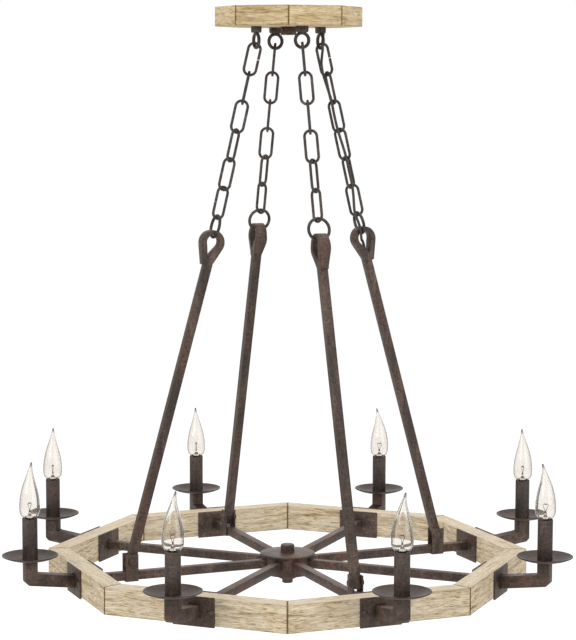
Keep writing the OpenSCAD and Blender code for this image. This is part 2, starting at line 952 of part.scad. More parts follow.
module lamp_sockets() {
    color("#e3dfd4")
        at_wheel()
            each_side()
                translate([light_at, 0, 0])
                    difference() {
                        translate([0, 0, socket_base])
                            cylinder(r = socket_r, h = socket_top - socket_base);
                        translate([0, 0, cap_base - socket_well])
                            cylinder(r = cap_screw_r + fit, h = socket_top);
                        translate([0, 0, socket_base - 1])
                            cylinder(r = nipple_r + fit, h = lamp_nipple_top - socket_base + 1);
                    }
}

module socket_nipples() {
    color("#b19a5c")
        at_wheel()
            each_side()
                translate([light_at, 0, lamp_nipple_base])
                    tube(nipple_r, nipple_wall, lamp_nipple_top - lamp_nipple_base);
}

module pan_nuts() {
    color("#b19a5c")
        at_wheel()
            each_side()
                translate([light_at, 0, pan_floor])
                    difference() {
                        cylinder(r = clamp_r, h = clamp_h, $fn = 6);
                        translate([0, 0, -1])
                            cylinder(r = nipple_r + fit, h = clamp_h + 2);
                    }
}

// Bulbs.

module at_candle(k) {
    at_wheel()
        rotate(first_turn + (k - 1) * 360 / sides)
            translate([light_at, 0, 0])
                children();
}

module bulb_cap(k) {
    color("#b8a56a")
        at_candle(k) {
            translate([0, 0, cap_base])
                cylinder(r1 = cap_screw_r / 2, r2 = cap_screw_r, h = cap_screw_r / 2);
            translate([0, 0, cap_base + cap_screw_r / 2])
                cylinder(r = cap_screw_r, h = glass_base - cap_base - cap_screw_r / 2);
        }
}

// Radius of the flame-shaped glass at the share u of its height.
function flame(u) =
    u < belly_at
        ? neck_r + (bulb_r - neck_r) * pow(sin(90 * u / belly_at), 0.7)
        : tip_r + (bulb_r - tip_r) * pow(cos(90 * (u - belly_at) / (1 - belly_at)), 1.2);

glass_steps = 16;
glass_tip = 8;

module bulb_glass(k) {
    body = [for (i = [0 : glass_steps]) [flame(i / glass_steps), bulb_h * i / glass_steps]];
    hollow = [for (i = [0 : glass_steps - 1])
        [flame(i / glass_steps) - glass_wall, (bulb_h - glass_tip) * i / (glass_steps - 1)]];
    color([0.96, 0.93, 0.86, 0.35])
        at_candle(k)
            translate([0, 0, glass_base])
                rotate_extrude()
                    difference() {
                        polygon(concat([[0, 0]], body, [[0, bulb_h]]));
                        polygon(concat(
                            [[0, -1], [neck_r - glass_wall, -1]], hollow, [[0, bulb_h - glass_tip]]
                        ));
                    }
}

// Supply cord.

function chain_point(p) =
    let (down = first_bend_at + p[2])
    [
        loop_at + down * sin(chain_lean) + p[0] * cos(chain_lean),
        p[1],
        loop_z - down * cos(chain_lean) + p[0] * sin(chain_lean)
    ];
function rod_point(p) = [
    pin_at - p[1] * sin(rod_lean) + p[0] * cos(rod_lean),
    p[2],
    pin_z - wheel_drop + p[1] * cos(rod_lean) + p[0] * sin(rod_lean)
];
function spoke_point(p) = [p[0], 0, p[1] - wheel_drop];

// A point between p[1] and p[2] on a smooth curve through all four.
function smooth(p, t) =
    0.5 * (2 * p[1] + t * (p[2] - p[0]) + t * t * (2 * p[0] - 5 * p[1] + 4 * p[2] - p[3])
    + t * t * t * (3 * p[1] - p[0] - 3 * p[2] + p[3]));

cord_route = concat(
    cord_in_canopy,
    [for (p = cord_by_chain) chain_point(p)],
    [for (p = cord_in_rod) rod_point(p)],
    [for (p = cord_in_spoke) spoke_point(p)]
);
bend_end = len(cord_in_canopy) + len(cord_by_chain) + 1;
cord_path = [
    for (i = [0 : len(cord_route) - 1])
        each i == 0 || i >= bend_end
            ? [cord_route[i]]
            : [cord_route[i], smooth([for (j = [-1 : 2]) cord_route[i + j]], 0.5)]
];

function unit(v) = v / norm(v);

module sweep(path, d, n) {
    last = len(path) - 1;
    points = [
        for (i = [0 : last])
            let (
                dir = unit(path[min(i + 1, last)] - path[max(i - 1, 0)]),
                side = unit(cross([0.1, 1, 0.1], dir)),
                up = cross(dir, side)
            )
            for (k = [0 : n - 1])
                path[i] + d / 2 * (cos(k * 360 / n) * side + sin(k * 360 / n) * up)
    ];
    walls = [
        for (i = [0 : last - 1])
            for (k = [0 : n - 1])
                let (a = i * n + k, b = i * n + (k + 1) % n)
                each [[a, b, b + n], [a, b + n, a + n]]
    ];
    ends = [
        [for (k = [n - 1 : -1 : 0]) k],
        [for (k = [0 : n - 1]) last * n + k]
    ];
    faces = [for (f = concat(walls, ends)) [for (j = [len(f) - 1 : -1 : 0]) f[j]]];
    polyhedron(points, faces, convexity = 10);
}

module supply_cord() {
    color("#262423")
        rotate(hanger_turn[1])
            sweep(cord_path, cord_d, cord_sides);
}

canopy_boards();
canopy_panel();
canopy_plate();
ceiling_crossbar();
mounting_nipple();
canopy_collar();
loop_lugs();
canopy_loops();
loop_nuts();
cord_bushing();
supply_cord();
top_link(0);  // chain_a_top_link
top_link(1);  // chain_b_top_link
top_link(2);  // chain_c_top_link
top_link(3);  // chain_d_top_link
lower_links(0);  // chain_a_links
lower_links(1);  // chain_b_links
lower_links(2);  // chain_c_links
lower_links(3);  // chain_d_links
rod(0);  // rod_a
rod(1);  // rod_b
rod(2);  // rod_c
rod(3);  // rod_d
stirrups();
stirrup_bolts();
wheel_boards();
outer_straps();
inner_straps();
strap_bolts();
spokes();
hub_drum();
hub_lid();
splice_block();
lamp_leads();
arms();
drip_pans();
candle_sleeves();
lamp_sockets();
socket_nipples();
pan_nuts();
hub_bolt();
hub_washer();
hub_nut();
bulb_cap(1);  // bulb_cap_1
bulb_cap(2);  // bulb_cap_2
bulb_cap(3);  // bulb_cap_3
bulb_cap(4);  // bulb_cap_4
bulb_cap(5);  // bulb_cap_5
bulb_cap(6);  // bulb_cap_6
bulb_cap(7);  // bulb_cap_7
bulb_cap(8);  // bulb_cap_8
bulb_glass(1);  // bulb_glass_1
bulb_glass(2);  // bulb_glass_2
bulb_glass(3);  // bulb_glass_3
bulb_glass(4);  // bulb_glass_4
bulb_glass(5);  // bulb_glass_5
bulb_glass(6);  // bulb_glass_6
bulb_glass(7);  // bulb_glass_7
bulb_glass(8);  // bulb_glass_8
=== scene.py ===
import random
from math import cos, pi, radians, sin, tan

import bpy
from mathutils import Matrix, Vector


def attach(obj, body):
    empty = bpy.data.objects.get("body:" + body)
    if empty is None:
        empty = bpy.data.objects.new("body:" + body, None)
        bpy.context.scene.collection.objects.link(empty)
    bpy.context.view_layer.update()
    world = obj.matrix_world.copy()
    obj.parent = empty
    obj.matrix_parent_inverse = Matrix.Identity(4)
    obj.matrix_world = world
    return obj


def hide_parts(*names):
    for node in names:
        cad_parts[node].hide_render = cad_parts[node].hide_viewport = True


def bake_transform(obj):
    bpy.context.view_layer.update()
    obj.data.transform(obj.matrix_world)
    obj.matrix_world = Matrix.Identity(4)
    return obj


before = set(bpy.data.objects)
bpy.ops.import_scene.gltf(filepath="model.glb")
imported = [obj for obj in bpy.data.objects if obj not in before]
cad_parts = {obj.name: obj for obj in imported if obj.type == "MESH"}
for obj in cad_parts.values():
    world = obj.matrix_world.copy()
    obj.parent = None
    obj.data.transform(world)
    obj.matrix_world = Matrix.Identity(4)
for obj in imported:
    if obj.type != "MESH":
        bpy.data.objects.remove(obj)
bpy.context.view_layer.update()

mm = 0.001
print("frame loaded:", len(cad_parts), "nodes")


def deselectAll():
    if bpy.context.mode != "OBJECT":
        bpy.ops.object.mode_set(mode="OBJECT")
    bpy.ops.object.select_all(action="DESELECT")


def startPiece(name):
    # the primitive just added becomes a named piece
    piece = bpy.context.active_object
    piece.name = name
    piece.data.name = name
    return piece


def applyAll(piece):
    deselectAll()
    piece.select_set(True)
    bpy.context.view_layer.objects.active = piece
    bpy.ops.object.transform_apply(location=True, rotation=True, scale=True)


def applyModifiers(piece):
    deselectAll()
    piece.select_set(True)
    bpy.context.view_layer.objects.active = piece
    for mod in list(piece.modifiers):
        bpy.ops.object.modifier_apply(modifier=mod.name)


def smoothByAngle(piece, degrees):
    deselectAll()
    piece.select_set(True)
    bpy.context.view_layer.objects.active = piece
    bpy.ops.object.shade_smooth_by_angle(angle=radians(degrees))


def copyPiece(source, name):
    piece = source.copy()
    piece.data = source.data.copy()
    piece.name = name
    piece.data.name = name
    bpy.context.scene.collection.objects.link(piece)
    return piece


# ---- node helpers for materials ----

def newMaterial(name):
    mat = bpy.data.materials.new(name)
    mat.use_nodes = True
    tree = mat.node_tree
    return mat, tree, tree.nodes["Principled BSDF"]


def addNode(tree, kind, inputs=None, **settings):
    node = tree.nodes.new(kind)
    for key, value in settings.items():
        setattr(node, key, value)
    for key, value in (inputs or {}).items():
        if isinstance(value, bpy.types.NodeSocket):
            tree.links.new(value, node.inputs[key])
        else:
            node.inputs[key].default_value = value
    return node


def stretchOf(tree, vector, scale):
    return addNode(tree, "ShaderNodeMapping", {"Vector": vector, "Scale": scale}).outputs["Vector"]


def objectPlace(tree, scale=(1, 1, 1)):
    place = addNode(tree, "ShaderNodeTexCoord").outputs["Object"]
    return stretchOf(tree, place, scale)


def heightOf(tree):
    return addNode(tree, "ShaderNodeSeparateXYZ", {"Vector": objectPlace(tree)}).outputs["Z"]


def noiseOf(tree, vector, scale, octaves, rough, warp=0.0):
    inputs = {
        "Vector": vector, "Scale": scale, "Detail": octaves, "Roughness": rough, "Distortion": warp}
    return addNode(tree, "ShaderNodeTexNoise", inputs).outputs["Fac"]


def rampOf(tree, value, stops):
    # a stop is its place and a grey level or a colour
    node = addNode(tree, "ShaderNodeValToRGB", {"Fac": value})
    while len(node.color_ramp.elements) < len(stops):
        node.color_ramp.elements.new(0.5)
    for element, (place, colour) in zip(node.color_ramp.elements, stops):
        if isinstance(colour, (int, float)):
            colour = (colour,) * 3
        element.position = place
        element.color = colour if len(colour) == 4 else (*colour, 1)
    return node.outputs["Color"]


# a mix node's sockets for colours share their names with others, so they go by number
mixInputs, mixResult = (0, 6, 7), 2


def mixOf(tree, factor, first, second, way="MIX"):
    inputs = dict(zip(mixInputs, (factor, first, second)))
    node = addNode(tree, "ShaderNodeMix", data_type="RGBA", blend_type=way)
    for number, value in inputs.items():
        if isinstance(value, bpy.types.NodeSocket):
            tree.links.new(value, node.inputs[number])
        else:
            node.inputs[number].default_value = value
    return node.outputs[mixResult]


def mathOf(tree, way, first, second=0.0, third=0.0):
    node = addNode(tree, "ShaderNodeMath", {0: first, 1: second, 2: third}, operation=way)
    return node.outputs[0]


def bumpOf(tree, height, strength, distance, normal=None):
    inputs = {"Height": height, "Strength": strength, "Distance": distance}
    if normal is not None:
        inputs["Normal"] = normal
    return addNode(tree, "ShaderNodeBump", inputs).outputs["Normal"]


def tone(code):
    # a hex colour as linear values
    parts = [int(code[i:i + 2], 16) / 255 for i in (1, 3, 5)]
    return tuple(c / 12.92 if c <= 0.04045 else ((c + 0.055) / 1.055) ** 2.4 for c in parts) + (1.0,)


# ---- forged iron ----

ironLook = {
    # "drawn" is how far the mottling is stretched along Z; the last number is a painted highlight, how much
    # brighter the arrises are made
    "wheel": {"dark": "#2b1f19", "mid": "#463830", "light": "#67554b", "rust": "#543c30",
              "grain": 34, "drawn": 1.0, "arrisHighlight": 1.7},
    "rod": {"dark": "#2a201b", "mid": "#43372f", "light": "#66564c", "rust": "#523b2f",
            "grain": 44, "drawn": 0.12, "arrisHighlight": 0.8},
    "chain": {"dark": "#221e1c", "mid": "#393330", "light": "#5e5651", "rust": "#43352e",
              "grain": 70, "drawn": 1.0, "arrisHighlight": 1.0},
    "sleeve": {"dark": "#2f2723", "mid": "#413732", "light": "#574a44", "rust": "#4a3a32",
               "grain": 60, "drawn": 0.4, "arrisHighlight": 1.2},
    "pan": {"dark": "#231812", "mid": "#33261f", "light": "#463730", "rust": "#412e25",
            "grain": 40, "drawn": 1.0, "arrisHighlight": 1.5},
    "bracket": {"dark": "#8b8c8c", "mid": "#a4a5a4", "light": "#bdbdbb", "rust": "#8f8678",
                "grain": 60, "drawn": 1.0, "arrisHighlight": 1.2},
}
ironDetail = {
    "metal": 0.35, "roughness": (0.5, 0.72), "arris": 1.3 * mm,
    # how far rust covers the finish, and how a scratch and a pit change it
    "rustCover": 0.75, "scratch": (1.6, 1.55, 1.5), "pit": (0.45, 0.42, 0.4),
    # scratches run along the piece whichever way it lies, so they are drawn both up and across
    "scratchUp": (260, 260, 14), "scratchAcross": (30, 30, 300),
    "pitScale": 240, "dentScale": 75, "dentDeep": 1.4 * mm,
    "scaleScale": 420, "scaleStrength": 0.35, "scaleDeep": 0.3 * mm,
}


def arrisOf(tree, width, full=0.86, none=0.985):
    # 1 on the arrises of a piece and 0 on its flats
    rounded = addNode(tree, "ShaderNodeBevel", {"Radius": width}, samples=4).outputs["Normal"]
    flat = addNode(tree, "ShaderNodeNewGeometry").outputs["Normal"]
    turned = addNode(tree, "ShaderNodeVectorMath", {0: rounded, 1: flat}, operation="DOT_PRODUCT")
    return rampOf(tree, turned.outputs["Value"], [(full, 1), (none, 0)])


def forgedIron(name, look, hammer):
    mat, tree, shader = newMaterial(name)
    place = objectPlace(tree)
    drawn = objectPlace(tree, (1, 1, look["drawn"]))
    detail = ironDetail
    mottle = noiseOf(tree, drawn, look["grain"], octaves=8, rough=0.6, warp=0.3)
    body = rampOf(tree, mottle, [
        (0.32, tone(look["dark"])), (0.5, tone(look["mid"])), (0.7, tone(look["light"]))])
    blotches = noiseOf(tree, drawn, look["grain"] / 2, octaves=5, rough=0.6, warp=0.8)
    patches = rampOf(tree, blotches, [(0.5, 0), (0.66, detail["rustCover"])])
    rusted = mixOf(tree, patches, body, tone(look["rust"]))
    scratches = mathOf(
        tree, "MAXIMUM",
        noiseOf(tree, objectPlace(tree, detail["scratchUp"]), 1.0, octaves=3, rough=0.6),
        noiseOf(tree, objectPlace(tree, detail["scratchAcross"]), 1.0, octaves=3, rough=0.6))
    worn = rampOf(tree, scratches, [(0.54, 1), (0.7, detail["scratch"])])
    pits = noiseOf(tree, place, detail["pitScale"], octaves=3, rough=0.7)
    pitted = rampOf(tree, pits, [(0.38, detail["pit"]), (0.5, 1)])
    coloured = mixOf(tree, 1.0, mixOf(tree, 1.0, rusted, worn, "MULTIPLY"), pitted, "MULTIPLY")
    # the arrises are made brighter: a painted highlight along the edges, standing in for their gloss
    arrisHighlight = look["arrisHighlight"]
    highlightedArris = mixOf(tree, 1.0, coloured, (arrisHighlight, arrisHighlight * 0.96, arrisHighlight * 0.92, 1), "MULTIPLY")
    final = mixOf(tree, arrisOf(tree, detail["arris"]), coloured, highlightedArris)
    tree.links.new(final, shader.inputs["Base Color"])
    smooth, coarse = detail["roughness"]
    tree.links.new(rampOf(tree, mottle, [(0.3, smooth), (0.7, coarse)]), shader.inputs["Roughness"])
    shader.inputs["Metallic"].default_value = detail["metal"]
    dented = noiseOf(tree, place, detail["dentScale"], octaves=3, rough=0.5)
    dents = bumpOf(tree, dented, hammer, detail["dentDeep"])
    scale = noiseOf(tree, place, detail["scaleScale"], octaves=4, rough=0.6)
    tree.links.new(
        bumpOf(tree, scale, detail["scaleStrength"], detail["scaleDeep"], dents), shader.inputs["Normal"])
    return mat


# ---- washed wood ----

woodLook = {
    "ring": {
        "pale": "#e1d2b4", "mid": "#ccb897", "deep": "#8d7554", "line": (0.44, 0.38, 0.31),
        "wash": "#d5cab6", "topAt": -904.3 * mm, "grey": "#b3a896", "stain": (0.22, 0.17, 0.12),
    },
    "canopy": {
        "pale": "#dac7a0", "mid": "#c5ac80", "deep": "#8d7350", "line": (0.58, 0.51, 0.42),
        "wash": "#cfc0a2", "stain": (0.5, 0.43, 0.33),
    },
}
woodDetail = {
    # noise is stretched along a board: the scales are along, across and through it
    "grain": (3.2, 46, 46), "pores": (60, 420, 420), "knots": (9, 26, 26),
    "waver": 9.0, "bend": (0.02, 0.012, 0.012), "bands": 3.0, "fine": 17, "washScale": 26,
    "bright": (1.16, 1.14, 1.11), "pore": (0.5, 0.42, 0.33), "knotCover": 0.7, "washCover": 0.55,
    "topSharp": 900.0, "topCover": 0.5,
    # the stain at a mitre, and the painted shade on the arrises
    "stainWide": 3 * mm, "stainRagged": (1.6 * mm, -0.6 * mm), "stainGrain": 160,
    "stainFade": (0.8, 0.77, 0.72), "edgeShade": (0.5, 0.43, 0.36, 1), "edgeShadeWide": 2.2 * mm,
    "edgeShadeGrain": 55, "edgeShadeCover": 2.0,
    "roughness": 0.78, "gloss": 0.25,
    "ridgeStrength": 0.45, "ridgeDeep": 0.6 * mm, "swellStrength": 0.3, "swellDeep": 0.9 * mm,
}


def washedWood(name, look, source):
    # source gives the place on the board: along, across and through it, in metres
    mat, tree, shader = newMaterial(name)
    detail = woodDetail
    grain = source(tree)
    waver = addNode(tree, "ShaderNodeTexNoise", {"Vector": grain, "Scale": detail["waver"], "Detail": 3.0})
    bent = addNode(
        tree, "ShaderNodeVectorMath", {0: waver.outputs["Color"], 1: detail["bend"]}, operation="MULTIPLY")
    led = addNode(
        tree, "ShaderNodeVectorMath", {0: grain, 1: bent.outputs[0]}, operation="ADD").outputs[0]
    stretched = stretchOf(tree, led, detail["grain"])
    bands = noiseOf(tree, stretched, detail["bands"], octaves=4, rough=0.55, warp=0.7)
    fine = noiseOf(tree, stretched, detail["fine"], octaves=6, rough=0.75, warp=0.2)
    tones = rampOf(tree, bands, [
        (0.27, tone(look["deep"])), (0.43, tone(look["mid"])), (0.6, tone(look["pale"]))])
    streaks = rampOf(tree, fine, [(0.38, look["line"]), (0.5, 1), (0.66, detail["bright"])])
    grained = mixOf(tree, 1.0, tones, streaks, "MULTIPLY")
    # short dark pores
    poreField = noiseOf(tree, stretchOf(tree, led, detail["pores"]), 1.0, octaves=4, rough=0.65)
    pores = rampOf(tree, poreField, [(0.53, 1), (0.66, detail["pore"])])
    pored = mixOf(tree, 1.0, grained, pores, "MULTIPLY")
    knotField = stretchOf(tree, led, detail["knots"])
    knots = addNode(tree, "ShaderNodeTexVoronoi", {"Vector": knotField, "Scale": 1.0, "Randomness": 1.0})
    spots = rampOf(tree, knots.outputs["Distance"], [(0.05, detail["knotCover"]), (0.16, 0)])
    knotted = mixOf(tree, spots, pored, tone(look["deep"]))
    chalk = noiseOf(tree, led, detail["washScale"], octaves=6, rough=0.66)
    washed = rampOf(tree, chalk, [(0.44, 0), (0.7, detail["washCover"])])
    final = mixOf(tree, washed, knotted, tone(look["wash"]))
    if "topAt" in look:
        # the upper faces are made greyer
        sharp = detail["topSharp"]
        upper = mathOf(tree, "MULTIPLY_ADD", heightOf(tree), sharp, -look["topAt"] * sharp)
        covered = rampOf(tree, upper, [(0.0, 0), (1.0, detail["topCover"])])
        final = mixOf(tree, covered, final, tone(look["grey"]))
    if source is boardPlace:
        # the ends of a board are stained dark at the mitre
        ends = addNode(tree, "ShaderNodeAttribute", attribute_name="endGap").outputs["Fac"]
        rag = noiseOf(tree, grain, detail["stainGrain"], octaves=3, rough=0.6)
        ragged = mathOf(tree, "MULTIPLY_ADD", rag, *detail["stainRagged"])
        inwards = mathOf(tree, "DIVIDE", mathOf(tree, "SUBTRACT", ends, ragged), detail["stainWide"])
        stain = rampOf(tree, inwards, [(0.12, look["stain"]), (0.42, detail["stainFade"]), (0.8, 1)])
        final = mixOf(tree, 1.0, final, stain, "MULTIPLY")
        # and the arrises get a patchy painted shade, darker along the edges
        edgeShaded = mixOf(tree, 1.0, final, detail["edgeShade"], "MULTIPLY")
        arris = arrisOf(tree, detail["edgeShadeWide"], 0.94, 0.997)
        patches = noiseOf(tree, grain, detail["edgeShadeGrain"], octaves=4, rough=0.7)
        patchy = mathOf(tree, "MULTIPLY", arris, patches)
        final = mixOf(tree, mathOf(tree, "MULTIPLY", patchy, detail["edgeShadeCover"]), final, edgeShaded)
    tree.links.new(final, shader.inputs["Base Color"])
    shader.inputs["Roughness"].default_value = detail["roughness"]
    shader.inputs["Specular IOR Level"].default_value = detail["gloss"]
    ridges = bumpOf(tree, fine, detail["ridgeStrength"], detail["ridgeDeep"])
    swells = bumpOf(tree, bands, detail["swellStrength"], detail["swellDeep"], ridges)
    tree.links.new(swells, shader.inputs["Normal"])
    return mat


def boardPlace(tree):
    return addNode(tree, "ShaderNodeAttribute", attribute_name="grainPos").outputs["Vector"]


def paintGrain(piece, offset):
    # stores each point's place in the board's own frame, and how far it is from the nearer mitre
    mesh = piece.data
    mesh.attributes.new("grainPos", "FLOAT_VECTOR", "POINT")
    mesh.attributes.new("endGap", "FLOAT", "POINT")
    grain, gap = mesh.attributes["grainPos"], mesh.attributes["endGap"]
    for i, v in enumerate(mesh.vertices):
        grain.data[i].vector = (v.co.y + offset[0], v.co.z + offset[1], v.co.x + offset[2])
        gap.data[i].value = (v.co.x * tan(halfSide) - abs(v.co.y)) * cos(halfSide)


# ---- other finishes ----

brassDetail = {
    "smudgeScale": 160, "dulled": 0.7, "spread": 0.15, "threadStrength": 0.5, "threadDeep": 0.4 * mm}
plasticDetail = {
    "dulled": 0.8, "roughness": (0.45, 0.62), "speckStrength": 0.2, "speckDeep": 0.15 * mm}


def dulledTone(code, share):
    return tuple(c * share for c in tone(code)[:3])


def turnedBrass(name, base, ringPitch, roughness):
    mat, tree, shader = newMaterial(name)
    detail = brassDetail
    rings = mathOf(tree, "SINE", mathOf(tree, "MULTIPLY", heightOf(tree), 2 * pi / ringPitch))
    smudge = noiseOf(tree, objectPlace(tree), detail["smudgeScale"], octaves=4, rough=0.6)
    coloured = rampOf(tree, smudge, [(0.3, dulledTone(base, detail["dulled"])), (0.7, tone(base))])
    tree.links.new(coloured, shader.inputs["Base Color"])
    shader.inputs["Metallic"].default_value = 1.0
    rough = rampOf(tree, smudge, [(0.3, roughness), (0.7, roughness + detail["spread"])])
    tree.links.new(rough, shader.inputs["Roughness"])
    threads = bumpOf(tree, rings, detail["threadStrength"], detail["threadDeep"])
    tree.links.new(threads, shader.inputs["Normal"])
    return mat


def mouldedPlastic(name, base, grain):
    mat, tree, shader = newMaterial(name)
    detail = plasticDetail
    speck = noiseOf(tree, objectPlace(tree), grain, octaves=5, rough=0.6)
    coloured = rampOf(tree, speck, [(0.3, dulledTone(base, detail["dulled"])), (0.7, tone(base))])
    tree.links.new(coloured, shader.inputs["Base Color"])
    smooth, coarse = detail["roughness"]
    tree.links.new(rampOf(tree, speck, [(0.3, smooth), (0.7, coarse)]), shader.inputs["Roughness"])
    specks = bumpOf(tree, speck, detail["speckStrength"], detail["speckDeep"])
    tree.links.new(specks, shader.inputs["Normal"])
    return mat


glassLook = {
    # from the face seen straight on to the edge; the rim and edge tones are painted shade
    "face": (0.915, 0.89, 0.855), "turn": (0.85, 0.815, 0.77),
    "rim": (0.4, 0.38, 0.36), "edge": (0.06, 0.05, 0.045),
    # the drawn tip is painted darker, as shade, from "tipFrom" to "tipTo" above the bottom of the glass
    "tipFrom": 80 * mm, "tipTo": 88 * mm, "tip": (0.3, 0.28, 0.26),
    "ior": 1.47,
    "rippleScale": 60, "rippleStrength": 0.12, "rippleDeep": 0.6 * mm, "rippleRough": 0.02,
}


def clearGlass(name, look, bottom):
    # painted shade: glass is darker where it is seen edge on, and at its tip
    mat, tree, shader = newMaterial(name)
    ripple = noiseOf(tree, objectPlace(tree), look["rippleScale"], octaves=2, rough=0.4)
    facing = addNode(tree, "ShaderNodeLayerWeight", {"Blend": 0.5}).outputs["Facing"]
    tintAndEdgeShade = rampOf(tree, facing, [
        (0.2, look["face"]), (0.42, look["turn"]), (0.62, look["rim"]), (0.8, look["edge"])])
    above = mathOf(tree, "SUBTRACT", heightOf(tree), bottom + look["tipFrom"])
    share = mathOf(tree, "DIVIDE", above, look["tipTo"] - look["tipFrom"])
    tip = rampOf(tree, share, [(0, 1), (1, look["tip"])])
    tree.links.new(mixOf(tree, 1.0, tintAndEdgeShade, tip, "MULTIPLY"), shader.inputs["Base Color"])
    shader.inputs["Transmission Weight"].default_value = 1.0
    shader.inputs["IOR"].default_value = look["ior"]
    rough = rampOf(tree, ripple, [(0.3, 0), (0.7, look["rippleRough"])])
    tree.links.new(rough, shader.inputs["Roughness"])
    ripples = bumpOf(tree, ripple, look["rippleStrength"], look["rippleDeep"])
    tree.links.new(ripples, shader.inputs["Normal"])
    return mat


wheelIron = forgedIron("wheelIron", ironLook["wheel"], hammer=0.35)
rodIron = forgedIron("rodIron", ironLook["rod"], hammer=0.35)
chainIron = forgedIron("chainIron", ironLook["chain"], hammer=0.3)
sleeveIron = forgedIron("sleeveIron", ironLook["sleeve"], hammer=0.12)
bracketSteel = forgedIron("bracketSteel", ironLook["bracket"], hammer=0.08)
panIron = forgedIron("panIron", ironLook["pan"], hammer=0.12)
ringWood = washedWood("ringWood", woodLook["ring"], boardPlace)
canopyWood = washedWood("canopyWood", woodLook["canopy"], boardPlace)
panelWood = washedWood("panelWood", woodLook["canopy"], objectPlace)
threadBrass = turnedBrass("threadBrass", "#c9a455", ringPitch=1.0 * mm, roughness=0.28)
capBrass = turnedBrass("capBrass", "#8f8371", ringPitch=2.54 * mm, roughness=0.34)
socketPlastic = mouldedPlastic("socketPlastic", "#2b2826", grain=220)
cordCover = mouldedPlastic("cordCover", "#2e2a27", grain=260)
leadCover = mouldedPlastic("leadCover", "#d8d2c4", grain=240)
wireMetal = turnedBrass("wireMetal", "#4a423c", ringPitch=0.6 * mm, roughness=0.45)
print("materials made")

finishNodes = [
    (panelWood, ["canopy_panel"]),
    (bracketSteel, ["canopy_plate", "ceiling_crossbar", "loop_nuts", "pan_nuts"]),
    (threadBrass, ["mounting_nipple", "socket_nipples"]),
    (chainIron, ["loop_lugs", "canopy_loops"]),
    (rodIron, ["stirrups", "stirrup_bolts"]),
    (wheelIron, [
        "canopy_collar", "outer_straps", "inner_straps", "strap_bolts", "spokes", "arms",
        "hub_drum", "hub_lid", "hub_bolt", "hub_washer", "hub_nut"]),
    (panIron, ["drip_pans"]),
    (sleeveIron, ["candle_sleeves"]),
    (socketPlastic, ["cord_bushing", "splice_block", "lamp_sockets"]),
    (cordCover, ["supply_cord"]),
    (leadCover, ["lamp_leads"]),
]
nodeFinish = {node: finish for finish, nodes in finishNodes for node in nodes}
for letter in "abcd":
    nodeFinish[f"chain_{letter}_top_link"] = chainIron
    nodeFinish[f"chain_{letter}_links"] = chainIron
    nodeFinish[f"rod_{letter}"] = rodIron
for k in range(1, 9):
    nodeFinish[f"bulb_cap_{k}"] = capBrass


def smoothGroup(degrees):
    # smooth faces, with edges over the limit kept sharp
    group = bpy.data.node_groups.new("roundedShade", "GeometryNodeTree")
    group.interface.new_socket("Geometry", in_out="INPUT", socket_type="NodeSocketGeometry")
    group.interface.new_socket("Geometry", in_out="OUTPUT", socket_type="NodeSocketGeometry")
    start = group.nodes.new("NodeGroupInput")
    end = group.nodes.new("NodeGroupOutput")
    faces = group.nodes.new("GeometryNodeSetShadeSmooth")
    faces.domain = "FACE"
    edges = group.nodes.new("GeometryNodeSetShadeSmooth")
    edges.domain = "EDGE"
    edges.inputs["Shade Smooth"].default_value = False
    angle = group.nodes.new("GeometryNodeInputMeshEdgeAngle")
    limit = group.nodes.new("FunctionNodeCompare")
    limit.operation = "GREATER_THAN"
    limit.inputs[1].default_value = radians(degrees)
    link = group.links.new
    link(start.outputs[0], faces.inputs["Geometry"])
    link(faces.outputs["Geometry"], edges.inputs["Geometry"])
    link(angle.outputs["Unsigned Angle"], limit.inputs[0])
    link(limit.outputs["Result"], edges.inputs["Selection"])
    link(edges.outputs["Geometry"], end.inputs[0])
    return group


edgeLimit = {"weld": 0.01 * mm, "smooth": 32, "bevel": 40}
roundedShade = smoothGroup(edgeLimit["smooth"])
# how far each node's edges are rounded, in mm
softEdge = {
    "canopy_panel": 0.6, "canopy_plate": 0.3, "ceiling_crossbar": 0.3, "canopy_collar": 0.8,
    "loop_lugs": 0.7, "stirrups": 0.4, "stirrup_bolts": 0.5, "outer_straps": 0.6, "inner_straps": 0.6,
    "strap_bolts": 0.5, "spokes": 0.7, "hub_drum": 0.6, "hub_lid": 0.6, "hub_bolt": 0.5,
    "hub_washer": 0.4, "hub_nut": 0.4, "arms": 1.0, "drip_pans": 0.35, "candle_sleeves": 0.25,
    "rod_a": 0.9, "rod_b": 0.9, "rod_c": 0.9, "rod_d": 0.9,
}
for name, finish in nodeFinish.items():
    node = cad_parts[name]
    node.data.materials.clear()
    node.data.materials.append(finish)
    weld = node.modifiers.new("weld", "WELD")
    weld.merge_threshold = edgeLimit["weld"]
    if name in softEdge:
        bevel = node.modifiers.new("softEdge", "BEVEL")
        bevel.width = softEdge[name] * mm
        bevel.segments = 2
        bevel.limit_method = "ANGLE"
        bevel.angle_limit = radians(edgeLimit["bevel"])
    shade = node.modifiers.new("shade", "NODES")
    shade.node_group = roundedShade
print("nodes dressed")


# ---- mitred boards of the wheel and the canopy ----

firstTurn = -67.5
wheelZ = -0.925
halfSide = pi / 8
# "shift" is how far, in metres, a board's grain is moved at random
boardCuts = {"cuts": 7, "spare": 1.1, "segments": 3, "smooth": 40, "shift": 4}
wheelBoard = {
    "corner": 403 * mm, "thick": 33 * mm, "high": 44 * mm, "middle": wheelZ,
    "seam": 0.06 * mm, "round": 1.2 * mm,
}
canopyBoard = {
    "corner": 121 * mm, "thick": 22 * mm, "high": 32 * mm, "middle": -16 * mm,
    "seam": 0.06 * mm, "round": 1 * mm,
}


